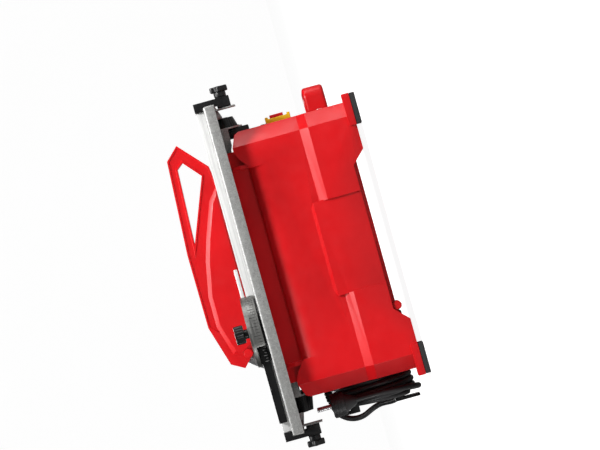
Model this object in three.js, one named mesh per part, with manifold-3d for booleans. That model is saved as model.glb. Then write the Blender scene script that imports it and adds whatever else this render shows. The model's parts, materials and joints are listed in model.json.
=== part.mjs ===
// Wet tile saw with a tilting table, a rip fence with an angle stop and a lifting blade guard.
// Millimetres, +Z up, standing on its four feet at z = 0. +X is the switch and carry handle end,
// -X the cord end, -Y the fence and motor side, +Y the side that the table tilts down to.
import * as THREE from 'three';
import { mergeVertices } from 'three/addons/utils/BufferGeometryUtils.js';
import { ConvexGeometry } from 'three/addons/geometries/ConvexGeometry.js';
import Module from 'manifold-3d';

const wasm = await Module();
wasm.setup();

// Driving dimensions
const GAP = 0.3; // between pieces that touch
const TABLE = { length: 420, width: 360, top: 185, skirt: 14, sheet: 1.5 };
const SHELL = { end: 171, near: 158, far: 130, chamfer: 18.7, wall: 3, top: 163, rim: 151, foot: 7, slope: 225 };
const BELT = { proud: 8, foot: 66, top: 77 }; // thicker lower part of the housing's near side
const MIDDLE = { front: 60, rear: -58, proud: 4, foot: 85, top: 89, slant: 8 };
const SHOULDER = { half: 148, recess: 124, foot: 126, y: -146, top: 174, out: 12, up: 25 }; // near side's rounded rim
const LEG = { inner: 109, slope: 17, middle: 24 };
const FOOT = { pad: 7, cup: 16, length: 40, width: 32, proud: 9 };
const TRAY = { x: 150, near: -150, far: 122, floor: 19, top: 62, wall: 2.5 };
const DRAIN = { x: -89, z: 18, radius: 5.5, bore: 3, out: -160 };
const HANDLE = { half: 62, reach: 206, grip: 16, leg: 17, low: 33, high: 60.5 };
const SWITCH = { y: -70, width: 56, low: 82.5, high: 115, proud: 7, ear: 2.5 };
const BUTTON = { width: 20, low: 91, high: 108.5, proud: 4.4 };
const BLADE = { x: -15, y: 45, z: 129, radius: 90, thick: 2.2 };
const SHAFT = 8;
const MOTOR = { radius: 50, bore: 37, rear: -62, front: 18, shield: 8 };
const FLANGE = { radius: 22, thick: 4.7 };
const KNIFE = { inner: 96, outer: 138, thick: 2, from: 128, to: 200 };
const PIVOT = { y: 37, z: 166, bolt: 4, plate: 20 };
const TILT_KNOB = { wide: 15, narrow: 11 };
const ENDS = [
  { name: 'front', side: 1, plate: 184.3, knob: 13 },
  { name: 'rear', side: -1, plate: 175.3, knob: 21 },
]; // how far out each tilt plate lies, and how long its knob is
const HOOD = { half: 8, wall: 2.5, pivotX: -106, pivotZ: 218, bolt: 3 };
const FENCE = { y: -115, half: 6, height: 11.5, end: 207 };
const CLAMP_KNOB = { radius: 12.5, neck: 7.7, z: 161 };
const PROTRACTOR = { x: -75, radius: 45, low: 200, high: 205, rim: [246, 358] };
const CORD = { radius: 3.75, coilY: -20, coilZ: 73, inner: 38.5, outer: 53.7, near: -172.5, away: -209.7 };
const PLUG = { x: -194, y: -80, low: 98, neck: 114, high: 130, radius: 15, pin: 19, pitch: 9.5 };
const RELIEF = { y: 48, z: 131, length: 25, wide: 7, narrow: 4.6 };
const SIDES = 24;

// Finishes
const finish = (color, roughness, metalness = 0) =>
  new THREE.MeshStandardMaterial({ color, roughness, metalness });
const RED = finish(0xd4141a, 0.45);
const BLACK = finish(0x161616, 0.5);
const RUBBER = finish(0x101010, 0.85);
const YELLOW = finish(0xf2cc0a, 0.45);
const GREEN = finish(0x1d8a3a, 0.45);
const ZINC = finish(0x9a9c9b, 0.5, 0.8);
const ALUMINIUM = finish(0xd6d8da, 0.35, 0.9);
const STEEL = finish(0xb4b6b8, 0.3, 1);
const MOTOR_PAINT = finish(0x4a4d50, 0.5, 0.4);
const COPPER = finish(0xa8703e, 0.4, 0.8);

// Solids
const saw = new THREE.Group();

function group() {
  const made = new THREE.Group();
  saw.add(made);
  return made;
}

function add(parent, name, geometry, material) {
  const mesh = new THREE.Mesh(geometry, material);
  mesh.name = name;
  parent.add(mesh);
}

function solid(geometry) {
  const bare = geometry.clone();
  bare.deleteAttribute('normal');
  bare.deleteAttribute('uv');
  const merged = mergeVertices(bare, 1e-4);
  const mesh = new wasm.Mesh({
    numProp: 3,
    vertProperties: new Float32Array(merged.attributes.position.array),
    triVerts: new Uint32Array(merged.index.array),
  });
  return new wasm.Manifold(mesh);
}

function geometryOf(manifold) {
  const { vertProperties, triVerts } = manifold.getMesh();
  const geometry = new THREE.BufferGeometry();
  geometry.setAttribute('position', new THREE.BufferAttribute(vertProperties, 3));
  geometry.setIndex(new THREE.BufferAttribute(triVerts, 1));
  return geometry;
}

const combine = (how) => (first, ...others) =>
  geometryOf(others.reduce((made, other) => made[how](solid(other)), solid(first)));
const join = combine('add');
const cut = combine('subtract');
const common = combine('intersect');

function block([x0, x1], [y0, y1], [z0, z1]) {
  const box = new THREE.BoxGeometry(x1 - x0, y1 - y0, z1 - z0);
  return box.translate((x0 + x1) / 2, (y0 + y1) / 2, (z0 + z1) / 2);
}

// A cylinder or cone along one axis between two places on it, centred on the other two coordinates.
function rod(axis, [from, to], [u, v], radius, endRadius = radius, sides = SIDES) {
  const made = new THREE.CylinderGeometry(endRadius, radius, to - from, sides);
  const middle = (from + to) / 2;
  if (axis === 'x') return made.rotateZ(-Math.PI / 2).translate(middle, u, v);
  if (axis === 'z') return made.rotateX(Math.PI / 2).translate(u, v, middle);
  return made.translate(u, middle, v);
}

const outline = (points) => new THREE.Shape(points.map(([u, v]) => new THREE.Vector2(u, v)));
const extrude = (shape, depth) =>
  new THREE.ExtrudeGeometry(shape, { depth, bevelEnabled: false, curveSegments: 9 });

// Slabs: an outline in (y, z), (x, z) or (x, y), given a thickness along the third axis.
function slabX(shape, [x0, x1]) {
  const turn = new THREE.Matrix4().makeBasis(
    new THREE.Vector3(0, 1, 0),
    new THREE.Vector3(0, 0, 1),
    new THREE.Vector3(1, 0, 0),
  );
  return extrude(shape, x1 - x0).applyMatrix4(turn).translate(x0, 0, 0);
}
const slabY = (shape, [y0, y1]) => extrude(shape, y1 - y0).rotateX(Math.PI / 2).translate(0, y1, 0);
const slabZ = (shape, [z0, z1]) => extrude(shape, z1 - z0).translate(0, 0, z0);

const hull = (points) => new ConvexGeometry(points.map(([x, y, z]) => new THREE.Vector3(x, y, z)));

function ringSector(inner, outer, fromDegrees, toDegrees, [u, v]) {
  const from = THREE.MathUtils.degToRad(fromDegrees);
  const to = THREE.MathUtils.degToRad(toDegrees);
  const shape = new THREE.Shape();
  shape.absarc(u, v, outer, from, to, false);
  shape.absarc(u, v, inner, to, from, true);
  return shape;
}

function lobed(radius, lobes, depth) {
  const points = [];
  const steps = lobes * 6;
  for (let step = 0; step < steps; step += 1) {
    const angle = (2 * Math.PI * step) / steps;
    const reach = radius - (depth * (1 - Math.cos(lobes * angle))) / 2;
    points.push([reach * Math.cos(angle), reach * Math.sin(angle)]);
  }
  return outline(points);
}

// The span between two distances from the middle, on one side of it.
const order = (a, b) => [Math.min(a, b), Math.max(a, b)];
const along = (side, from, to) => order(side * from, side * to);

// Housing
function plan(inset, low, high) {
  const end = SHELL.end - inset;
  const near = inset - SHELL.near;
  const far = SHELL.far - inset;
  const corner = SHELL.chamfer - inset * 0.6;
  const points = [
    [end, near + corner],
    [end, far - corner],
    [end - corner, far],
    [corner - end, far],
    [-end, far - corner],
    [-end, near + corner],
    [corner - end, near],
    [end - corner, near],
  ];
  return slabZ(outline(points), [low, high]);
}

function beltEnd(side, inset) {
  const inner = side > 0 ? MIDDLE.front + inset : MIDDLE.rear - inset;
  const end = side * (SHELL.end - inset);
  const chamfer = SHELL.chamfer - inset * 0.6;
  const ring = (depth, z) => {
    const near = -(SHELL.near + depth - inset);
    return [
      [inner, near, z],
      [end - side * chamfer, near, z],
      [end, near + chamfer, z],
      [end, 0, z],
      [inner, 0, z],
    ];
  };
  return hull([
    ...ring(BELT.proud, SHELL.foot),
    ...ring(BELT.proud, BELT.foot),
    ...ring(0, BELT.top),
  ]);
}

function beltMiddle(inset) {
  const ring = (depth, z, slant) => {
    const near = -(SHELL.near + depth - inset);
    const [front, rear] = [MIDDLE.front + 1 - slant, MIDDLE.rear - 1 + slant];
    return [[front, near, z], [rear, near, z], [front, 0, z], [rear, 0, z]];
  };
  return hull([
    ...ring(MIDDLE.proud, SHELL.foot, 0),
    ...ring(MIDDLE.proud, MIDDLE.foot, 0),
    ...ring(0, MIDDLE.top, MIDDLE.slant),
  ]);
}

function housingForm(inset, low, high) {
  const body = join(
    plan(inset, low, high),
    beltEnd(1, inset),
    beltEnd(-1, inset),
    beltMiddle(inset),
  );
  // The far side is cut down at 45 degrees, where the table swings.
  const reach = 400;
  const slope = SHELL.slope - inset * Math.SQRT2;
  const swing = outline([[reach, slope - reach], [reach, slope + reach], [-reach, slope + reach]]);
  return cut(body, slabX(swing, [-reach / 2, reach / 2]));
}

// The side elevation: high corner posts, a lower rim between them, and legs at both ends.
function elevation() {
  const half = [
    [SHELL.end, SHELL.foot],
    [SHELL.end, SHELL.rim],
    [SHELL.end - 3, SHELL.rim + 6],
    [SHELL.end - SHELL.chamfer, SHELL.top],
    [SHELL.end - SHELL.chamfer - 6, SHELL.top],
    [SHELL.end - 34, SHELL.rim + 8],
    [SHELL.end - 43, SHELL.rim + 1],
    [SHOULDER.recess - 1, SHELL.rim - 3],
    [SHOULDER.recess - 1, SHOULDER.foot],
  ];
  const under = [
    [-LEG.inner, SHELL.foot],
    [LEG.slope - LEG.inner, LEG.middle],
    [LEG.inner - LEG.slope, LEG.middle],
    [LEG.inner, SHELL.foot],
  ];
  const mirrored = half.map(([x, z]) => [-x, z]).reverse();
  return slabY(outline([...half, ...mirrored, ...under]), [-300, 300]);
}

// Between the posts the near wall turns inwards in a rounded shoulder and rises to a splash rim.
function shoulder() {
  const { half, recess, foot, y, top, out, up } = SHOULDER;
  const wall = SHELL.wall;
  const section = new THREE.Shape();
  section.moveTo(y - out, foot - 1);
  section.lineTo(y - out, foot);
  section.absellipse(y, foot, out, up, Math.PI, Math.PI / 2, true);
  section.lineTo(y, top);
  section.lineTo(y + wall, top);
  section.lineTo(y + wall, foot + up - wall);
  section.lineTo(y - 4, foot + up - wall - 1);
  section.lineTo(y + wall - out, foot - 1);
  // A rounded rib closes each end of the recess.
  const rib = outline([
    [y + 1, foot + up - 4],
    [y - out + 2, foot + 12],
    [y - out + 2, SHELL.top - 3],
    [y - 7, top - 4],
    [y + 1, top - 2],
  ]);
  const ribs = [-1, 1].map((side) => slabX(rib, along(side, recess, recess + 5)));
  return join(slabX(section, [-half, half]), ...ribs);
}

const [footNear, footFar] = [-(SHELL.near + BELT.proud) - 6, SHELL.far + 6 - FOOT.width];
const feet = [
  { name: 'front_near', x: SHELL.end + FOOT.proud - FOOT.length, y: footNear },
  { name: 'front_far', x: SHELL.end + FOOT.proud - FOOT.length, y: footFar },
  { name: 'rear_near', x: -SHELL.end - FOOT.proud, y: footNear },
  { name: 'rear_far', x: -SHELL.end - FOOT.proud, y: footFar },
];

function housingShell() {
  const windowY = [SWITCH.y - SWITCH.width / 2 + 4, SWITCH.y + SWITCH.width / 2 - 4];
  const switchWindow = block([150, 180], windowY, [SWITCH.low + 5, SWITCH.high - 5]);
  const cups = feet.map(({ x, y }) =>
    block([x, x + FOOT.length], [y, y + FOOT.width], [SHELL.foot, FOOT.cup]));
  const skin = common(housingForm(0, SHELL.foot, 200), elevation());
  const hollow = join(
    housingForm(SHELL.wall, SHELL.foot - 10, 220),
    block([-LEG.inner, LEG.inner], [-140, 112], [0, 60]),
  );
  return join(cut(skin, hollow, switchWindow), shoulder(), ...cups);
}

function waterTray() {
  const { x, near, far, floor, top, wall } = TRAY;
  const drainMouth = near + 8;
  return cut(
    join(
      block([-x, x], [near, far], [floor, top]),
      rod('y', [DRAIN.out, near + 14], [DRAIN.x, DRAIN.z], DRAIN.radius),
    ),
    block([wall - x, x - wall], [near + wall, far - wall], [floor + wall, top + 10]),
    rod('y', [DRAIN.out - 1, drainMouth], [DRAIN.x, DRAIN.z], DRAIN.bore),
    rod('z', [DRAIN.z, floor + 10], [DRAIN.x, drainMouth - 2], DRAIN.bore),
  );
}

function drainPlug() {
  return join(
    rod('y', [DRAIN.out - 3.4, DRAIN.out - GAP], [DRAIN.x, DRAIN.z], DRAIN.radius),
    rod('y', [DRAIN.out - 1, DRAIN.out + 10], [DRAIN.x, DRAIN.z], DRAIN.bore - 0.4),
  );
}

function carryHandle() {
  const root = SHELL.end + GAP;
  const { half, reach, grip, leg } = HANDLE;
  const bend = 14;
  const shape = new THREE.Shape();
  shape.moveTo(root, -half);
  shape.lineTo(reach - bend, -half);
  shape.absarc(reach - bend, -half + bend, bend, -Math.PI / 2, 0, false);
  shape.lineTo(reach, half - bend);
  shape.absarc(reach - bend, half - bend, bend, 0, Math.PI / 2, false);
  shape.lineTo(root, half);
  shape.lineTo(root, half - leg);
  shape.lineTo(reach - grip - 5, half - leg);
  shape.absarc(reach - grip - 5, half - leg - 5, 5, Math.PI / 2, 0, true);
  shape.lineTo(reach - grip, leg + 5 - half);
  shape.absarc(reach - grip - 5, leg + 5 - half, 5, 0, -Math.PI / 2, true);
  shape.lineTo(root, leg - half);
  return slabZ(shape, [HANDLE.low, HANDLE.high]);
}

function switchFrame() {
  const { y, width, low, high, proud, ear } = SWITCH;
  const root = SHELL.end + GAP;
  const face = SHELL.end + proud;
  const sides = [y - width / 2, y + width / 2];
  const window = block([150, 200], [sides[0] + 6.5, sides[1] - 6.5], [BUTTON.low - 1, BUTTON.high + 1]);
  return cut(
    join(
      block([root, face], sides, [low, high]),
      block([root, face + ear], sides, [low, low + 4]),
      block([root, face + ear], sides, [high - 4, high]),
    ),
    window,
  );
}

function button(y) {
  const face = SHELL.end + SWITCH.proud + BUTTON.proud;
  return block([SHELL.end + 1, face], [y, y + BUTTON.width], [BUTTON.low, BUTTON.high]);
}

function cordHook(side) {
  const z = CORD.coilZ + side * (CORD.inner - 9);
  const flange = CORD.coilZ + side * (CORD.outer + 3);
  const across = [CORD.coilY - 12, CORD.coilY + 12];
  const end = CORD.away - GAP;
  const order = (a, b) => [Math.min(a, b), Math.max(a, b)];
  return join(
    block([end - 4, -SHELL.end - GAP], across, [z - 6, z + 6]),
    block([end - 4, end - 0.5], across, order(z, flange)),
  );
}

const housing = group();
add(housing, 'housing_shell', housingShell(), RED);
add(housing, 'water_tray', waterTray(), RED);
add(housing, 'drain_plug', drainPlug(), RED);
add(housing, 'carry_handle', carryHandle(), RED);
for (const { name, x, y } of feet) {
  const edge = 0.5;
  const across = [y + edge, y + FOOT.width - edge];
  const pad = block([x + edge, x + FOOT.length - edge], across, [0, FOOT.pad - GAP]);
  add(housing, `foot_pad_${name}`, pad, RUBBER);
}
add(housing, 'switch_frame', switchFrame(), YELLOW);
add(housing, 'off_button', button(SWITCH.y - BUTTON.width - 1), RED);
add(housing, 'on_button', button(SWITCH.y + 1), GREEN);
const boxY = [SWITCH.y - 26, SWITCH.y + 26];
add(housing, 'switch_box', block([136, 167], boxY, [SWITCH.low + 1, SWITCH.high - 1]), BLACK);
add(housing, 'cord_hook_upper', cordHook(1), BLACK);
add(housing, 'cord_hook_lower', cordHook(-1), BLACK);

// Drive: the motor lies along Y under the near half of the table
const hub = [BLADE.x, BLADE.z];
const disc = (span, radius, bore = SHAFT + GAP) =>
  cut(rod('y', span, hub, radius), rod('y', [span[0] - 1, span[1] + 1], hub, bore));
const drive = group();
const shieldFront = [MOTOR.front + GAP, MOTOR.front + GAP + MOTOR.shield];
const shieldRear = [MOTOR.rear - GAP - MOTOR.shield, MOTOR.rear - GAP];
const plateSpan = [shieldFront[1] + GAP, shieldFront[1] + GAP + 3];
const BEARING = 12;

function motorPlate() {
  const half = SHELL.end - SHELL.wall - 1;
  const sheet = block([-half, half], plateSpan, [TRAY.top + 2, 149]);
  return cut(sheet, rod('y', [plateSpan[0] - 1, plateSpan[1] + 1], hub, SHAFT + 6));
}

function coolingFan() {
  const blades = [];
  for (let step = 0; step < 6; step += 1) {
    const blade = block([-1.5, 1.5], [-84, -74], [10, 42]);
    blades.push(blade.rotateY((step * Math.PI) / 3).translate(BLADE.x, 0, BLADE.z));
  }
  const ring = join(rod('y', [-84, -73], hub, 15), ...blades);
  return cut(ring, rod('y', [-90, -70], hub, SHAFT + GAP));
}

function fanCowl() {
  const [front, rear, wall] = [shieldRear[0] - GAP, -94, 2];
  const vents = [];
  for (let step = 0; step < 8; step += 1) {
    const vent = block([-3, 3], [rear - 1, rear + wall + 1], [20, 40]);
    vents.push(vent.rotateY((step * Math.PI) / 4).translate(BLADE.x, 0, BLADE.z));
  }
  const inside = rod('y', [rear + wall, front + 1], hub, MOTOR.radius - wall);
  return cut(rod('y', [rear, front], hub, MOTOR.radius), inside, ...vents);
}

function rivingKnife() {
  const span = [BLADE.y - KNIFE.thick / 2, BLADE.y + KNIFE.thick / 2];
  const sector = ringSector(KNIFE.inner, KNIFE.outer, KNIFE.from, KNIFE.to, hub);
  const foot = [BLADE.x - 116, BLADE.z - 10];
  return cut(
    join(slabY(sector, span), rod('y', [plateSpan[1] + GAP, span[0] + 0.5], foot, 10)),
    rod('y', [40, 50], [HOOD.pivotX, HOOD.pivotZ], HOOD.bolt + 0.4),
  );
}

const bladeSpan = [BLADE.y - BLADE.thick / 2, BLADE.y + BLADE.thick / 2];
const innerFlange = [bladeSpan[0] - GAP - FLANGE.thick, bladeSpan[0] - GAP];
const outerFlange = [bladeSpan[1] + GAP, bladeSpan[1] + GAP + FLANGE.thick];
const nutSpan = [outerFlange[1] + GAP, outerFlange[1] + GAP + 8];
add(drive, 'motor_plate', motorPlate(), ZINC);
add(drive, 'motor_body', disc([MOTOR.rear, MOTOR.front], MOTOR.radius, MOTOR.bore), MOTOR_PAINT);
add(drive, 'drive_end_shield', disc(shieldFront, MOTOR.radius, BEARING + GAP), ALUMINIUM);
add(drive, 'fan_end_shield', disc(shieldRear, MOTOR.radius, BEARING + GAP), ALUMINIUM);
add(drive, 'drive_bearing', disc([shieldFront[0] + 1, shieldFront[1] - 1], BEARING), STEEL);
add(drive, 'fan_bearing', disc([shieldRear[0] + 1, shieldRear[1] - 1], BEARING), STEEL);
add(drive, 'fan_cowl', fanCowl(), BLACK);
add(drive, 'capacitor', rod('x', [48, 108], [plateSpan[0] - GAP - 16, 106], 16), BLACK);
add(drive, 'riving_knife', rivingKnife(), STEEL);
add(drive, 'motor_shaft', rod('y', [-86, nutSpan[1] + 2], hub, SHAFT), STEEL);
add(drive, 'rotor_core', disc([MOTOR.rear + 7, MOTOR.front - 7], MOTOR.bore - 2), COPPER);
add(drive, 'cooling_fan', coolingFan(), BLACK);
add(drive, 'inner_flange', disc(innerFlange, FLANGE.radius), STEEL);
add(drive, 'diamond_blade', cut(
  rod('y', bladeSpan, hub, BLADE.radius, BLADE.radius, 72),
  rod('y', [0, 90], hub, SHAFT + GAP),
), STEEL);
add(drive, 'outer_flange', disc(outerFlange, FLANGE.radius), STEEL);
add(drive, 'blade_nut', cut(
  rod('y', nutSpan, hub, 13, 13, 6),
  rod('y', [0, 90], hub, SHAFT + GAP),
), STEEL);

// Table: a folded sheet on two pivots
function tableTop() {
  const { length, width, top, skirt, sheet } = TABLE;
  const slotY = [BLADE.y - 19, BLADE.y + 3];
  return cut(
    block([-length / 2, length / 2], [-width / 2, width / 2], [top - skirt, top]),
    block([sheet - length / 2, length / 2 - sheet], [sheet - width / 2, width / 2 - sheet], [100, top - sheet]),
    block([-146, 62], slotY, [100, top + 10]),
  );
}

const pivotAt = [PIVOT.y, PIVOT.z];
const bore = (radius) => rod('x', [-300, 300], pivotAt, radius);

function tiltPlate({ side, plate }) {
  const span = along(side, plate, plate + 2);
  const sheetUnder = TABLE.top - TABLE.sheet - GAP;
  // A gusset is folded back under the table from the plate's near edge.
  const near = PIVOT.y - 26;
  const gusset = outline([
    [side * (plate + 1), PIVOT.z - 1],
    [side * (plate + 1), sheetUnder],
    [side * (plate - 38), sheetUnder],
    [side * (plate - 38), PIVOT.z + 6],
    [side * (plate - 22), PIVOT.z - 0.5],
  ]);
  return cut(
    join(
      rod('x', span, pivotAt, PIVOT.plate),
      block(span, [near, PIVOT.y + 26], [PIVOT.z - 1, sheetUnder]),
      slabY(gusset, [near, near + 2]),
    ),
    block(along(side, plate - 5, plate + 5), [PIVOT.y - 60, PIVOT.y + 60], [sheetUnder, 300]),
    bore(PIVOT.bolt + 0.4),
  );
}

function pivotBlock({ side, plate }) {
  const span = along(side, SHELL.end + GAP, plate - GAP);
  return cut(
    join(rod('x', span, pivotAt, 14), block(span, [PIVOT.y - 14, PIVOT.y + 14], [138, PIVOT.z])),
    bore(PIVOT.bolt + GAP),
  );
}

const KNOB_STANDS_OFF = 2.7; // from the outer plate face's start to the knob

function tiltKnob({ side, plate, knob }) {
  const { wide, narrow } = TILT_KNOB;
  const span = along(side, plate + KNOB_STANDS_OFF, plate + KNOB_STANDS_OFF + knob);
  const [start, end] = side > 0 ? [wide, narrow] : [narrow, wide];
  const grooves = [];
  for (let step = 0; step < 12; step += 1) {
    const angle = (step * Math.PI) / 6;
    const at = [PIVOT.y + (wide + 1.2) * Math.cos(angle), PIVOT.z + (wide + 1.2) * Math.sin(angle)];
    grooves.push(rod('x', [span[0] - 1, span[1] + 1], at, 2.4, 2.4, 8));
  }
  return cut(rod('x', span, pivotAt, start, end), ...grooves, bore(PIVOT.bolt + 0.4));
}

const table = group();
add(table, 'table_top', tableTop(), ZINC);
for (const end of ENDS) {
  const boltEnd = end.plate + KNOB_STANDS_OFF + end.knob + 1;
  const bolt = rod('x', along(end.side, SHELL.end + 1, boltEnd), pivotAt, PIVOT.bolt);
  add(table, `${end.name}_tilt_plate`, tiltPlate(end), ZINC);
  add(housing, `${end.name}_pivot_block`, pivotBlock(end), BLACK);
  add(housing, `${end.name}_pivot_bolt`, bolt, STEEL);
  add(table, `${end.name}_tilt_knob`, tiltKnob(end), BLACK);
}

// Rip fence across the whole table, clamped to both end skirts
const fence = group();
const above = TABLE.top + GAP;

function fenceRail() {
  const { y, half, height, end } = FENCE;
  return cut(
    block([-end, end], [y - half, y + half], [above, above + height]),
    block([-300, 300], [y - 1.5, y + 1.5], [above + height - 4, above + height + 1]),
    block([-300, 300], [y - 3.5, y + 3.5], [above + height - 6, above + height - 3]),
  );
}

function fenceClamp(side) {
  const [y0, y1] = [FENCE.y - 11, FENCE.y + 11];
  const edge = TABLE.length / 2;
  return cut(
    join(
      block(along(side, edge + 0.4, edge + 9), [y0, y1], [CLAMP_KNOB.z, 197]),
      block(along(side, FENCE.end + 0.4, edge + 9), [y0, y1], [above, 197]),
      block(along(side, FENCE.end, edge + 9.6), [y0, y1], [CLAMP_KNOB.z - 10, CLAMP_KNOB.z + 7]),
    ),
    rod('x', [-300, 300], [FENCE.y, CLAMP_KNOB.z], 3.5),
  );
}

function clampPlate(side) {
  const span = along(side, FENCE.end - 2.8, FENCE.end - 0.8);
  return block(span, [FENCE.y - 9, FENCE.y + 9], [146, TABLE.top - TABLE.sheet - 3]);
}

function clampKnob(side) {
  const at = [FENCE.y, CLAMP_KNOB.z];
  const rim = slabX(lobed(CLAMP_KNOB.radius, 6, 3), along(side, 226.5, 233.5));
  return join(
    rim.translate(0, ...at),
    rod('x', along(side, 220, 227), at, CLAMP_KNOB.neck),
    rod('x', along(side, FENCE.end, 221), at, 3),
  );
}

add(fence, 'fence_rail', fenceRail(), ALUMINIUM);
for (const { name, side } of ENDS) {
  add(fence, `${name}_fence_clamp`, fenceClamp(side), BLACK);
  add(fence, `${name}_clamp_plate`, clampPlate(side), ZINC);
  add(fence, `${name}_clamp_knob`, clampKnob(side), BLACK);
}

// Angle stop: a protractor that slides along the fence, with a turning stop bar
const angleStop = group();
const front = FENCE.y - FENCE.half - 0.6;
const spindle = [PROTRACTOR.x, front - 8];

function protractorPlate() {
  const at = [PROTRACTOR.x, front];
  const { radius, low, high } = PROTRACTOR;
  const half = new THREE.Shape();
  half.absarc(...at, radius, Math.PI, 2 * Math.PI, false);
  const rim = slabZ(ringSector(radius - 2.5, radius, ...PROTRACTOR.rim, at), [188.4, high]);
  return cut(join(slabZ(half, [low, high]), rim), rod('z', [190, 220], spindle, 3.5));
}

function stopBase() {
  const half = new THREE.Shape();
  half.absarc(PROTRACTOR.x, front, PROTRACTOR.radius - 5, Math.PI, 2 * Math.PI, false);
  return cut(slabZ(half, [above, 188]), rod('z', [180, 220], spindle, 3.5));
}

function stopBar() {
  const blade = block([-194, PROTRACTOR.x], [front - 13, front], [188.4, 198.5]);
  const boss = block([-116, PROTRACTOR.x], [front - 16, front], [188.4, PROTRACTOR.low - 0.4]);
  return cut(
    join(blade, boss, rod('z', [188.4, PROTRACTOR.low - 0.4], spindle, 8)),
    rod('z', [180, 220], spindle, 3.5),
  );
}

function angleKnob() {
  const rim = slabZ(lobed(12.5, 5, 3.5), [211, 223]).translate(spindle[0], spindle[1], 0);
  return join(rim, rod('z', [187, 212], spindle, 3), rod('z', [206, 212], spindle, 6));
}

add(angleStop, 'angle_stop_base', stopBase(), BLACK);
add(angleStop, 'protractor_plate', protractorPlate(), ZINC);
add(angleStop, 'guide_arm', block([-120, 6], [front + 1, front + 9], [199, 203.5]), ALUMINIUM);
add(angleStop, 'stop_bar', stopBar(), BLACK);
add(angleStop, 'angle_knob', angleKnob(), BLACK);

// Blade guard: a thin hood that lifts about the riving knife's upper end
function guardHood() {
  const span = [BLADE.y - HOOD.half, BLADE.y + HOOD.half];
  const hollowSpan = [span[0] + HOOD.wall, span[1] - HOOD.wall];
  const body = outline([
    [145, 203],
    [182, 236.6],
    [165, 254],
    [39, 261],
    [-60, 260],
    [-114, 244],
    [-123.6, 227],
    [-107.5, 212],
    [-98, 196],
    [100, 196],
  ]);
  const hollow = outline([
    [118, 180],
    [118, 207],
    [100, 217],
    [50, 240],
    [30, 246],
    [-50, 246],
    [-98, 243],
    [-130, 239],
    [-130, 180],
  ]);
  const grip = outline([[158, 235], [151, 243.6], [50, 248], [135, 215]]);
  return cut(
    slabY(body, span),
    slabY(hollow, hollowSpan),
    slabY(grip, [0, 90]),
    rod('y', [0, 90], [HOOD.pivotX, HOOD.pivotZ], HOOD.bolt + 0.4),
  );
}

function guardBolt() {
  const at = [HOOD.pivotX, HOOD.pivotZ];
  const out = HOOD.half + 0.4;
  return join(
    rod('y', [BLADE.y - out - 1, BLADE.y + out + 1], at, HOOD.bolt),
    rod('y', [BLADE.y - out - 3.5, BLADE.y - out], at, 6),
    rod('y', [BLADE.y + out, BLADE.y + out + 3.5], at, 6),
  );
}

const guard = group();
add(guard, 'guard_hood', guardHood(), RED);
add(guard, 'guard_bolt', guardBolt(), RED);

// Supply cord: out of the rear end, wound on the two hooks, with its plug tucked up beside the coil
const cord = group();
const reliefTip = -SHELL.end - GAP - RELIEF.length;
const leadRoute = [
  [reliefTip - GAP, 48, 131],
  [-204, 48, 130.6],
  [-213, 48, 128],
  [-221, 46.5, 120],
  [-224.5, 43, 109],
  [-223, 38.5, 98],
  [-218.5, 34, 88],
  [-215, 31, 79],
];

function cordLead() {
  const curve = new THREE.CatmullRomCurve3(leadRoute.map((at) => new THREE.Vector3(...at)));
  const section = new THREE.Shape();
  section.absarc(0, 0, CORD.radius, 0, 2 * Math.PI, false);
  const swept = { steps: 10, curveSegments: 5, bevelEnabled: false, extrudePath: curve };
  return new THREE.ExtrudeGeometry(section, swept);
}

function cordCoil() {
  const { inner, outer, near, away } = CORD;
  const width = near - away;
  const profile = [[inner, 0], [outer, 0], [outer, width], [inner, width], [inner, 0]];
  const ring = new THREE.LatheGeometry(profile.map(([r, h]) => new THREE.Vector2(r, h)), 40);
  return ring.rotateZ(-Math.PI / 2).translate(away, CORD.coilY, CORD.coilZ);
}

function plugBody() {
  const { low, neck, high, radius } = PLUG;
  return join(
    rod('z', [low, neck], [PLUG.x, PLUG.y], CORD.radius + 1.5, radius - 2),
    rod('z', [neck - 1, high], [PLUG.x, PLUG.y], radius),
  );
}

const relief = rod('x', [reliefTip, -SHELL.end - GAP], [RELIEF.y, RELIEF.z], RELIEF.narrow, RELIEF.wide);
add(cord, 'cord_strain_relief', relief, BLACK);
add(cord, 'cord_lead', cordLead(), RUBBER);
add(cord, 'cord_coil', cordCoil(), RUBBER);
add(cord, 'plug_body', plugBody(), RUBBER);
for (const [name, side] of [['left', -1], ['right', 1]]) {
  const foot = PLUG.high + GAP;
  const pin = rod('z', [foot, foot + PLUG.pin], [PLUG.x, PLUG.y + side * PLUG.pitch], 2.4, 2.4, 16);
  add(cord, `plug_pin_${name}`, pin, STEEL);
}

export default saw;
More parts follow.
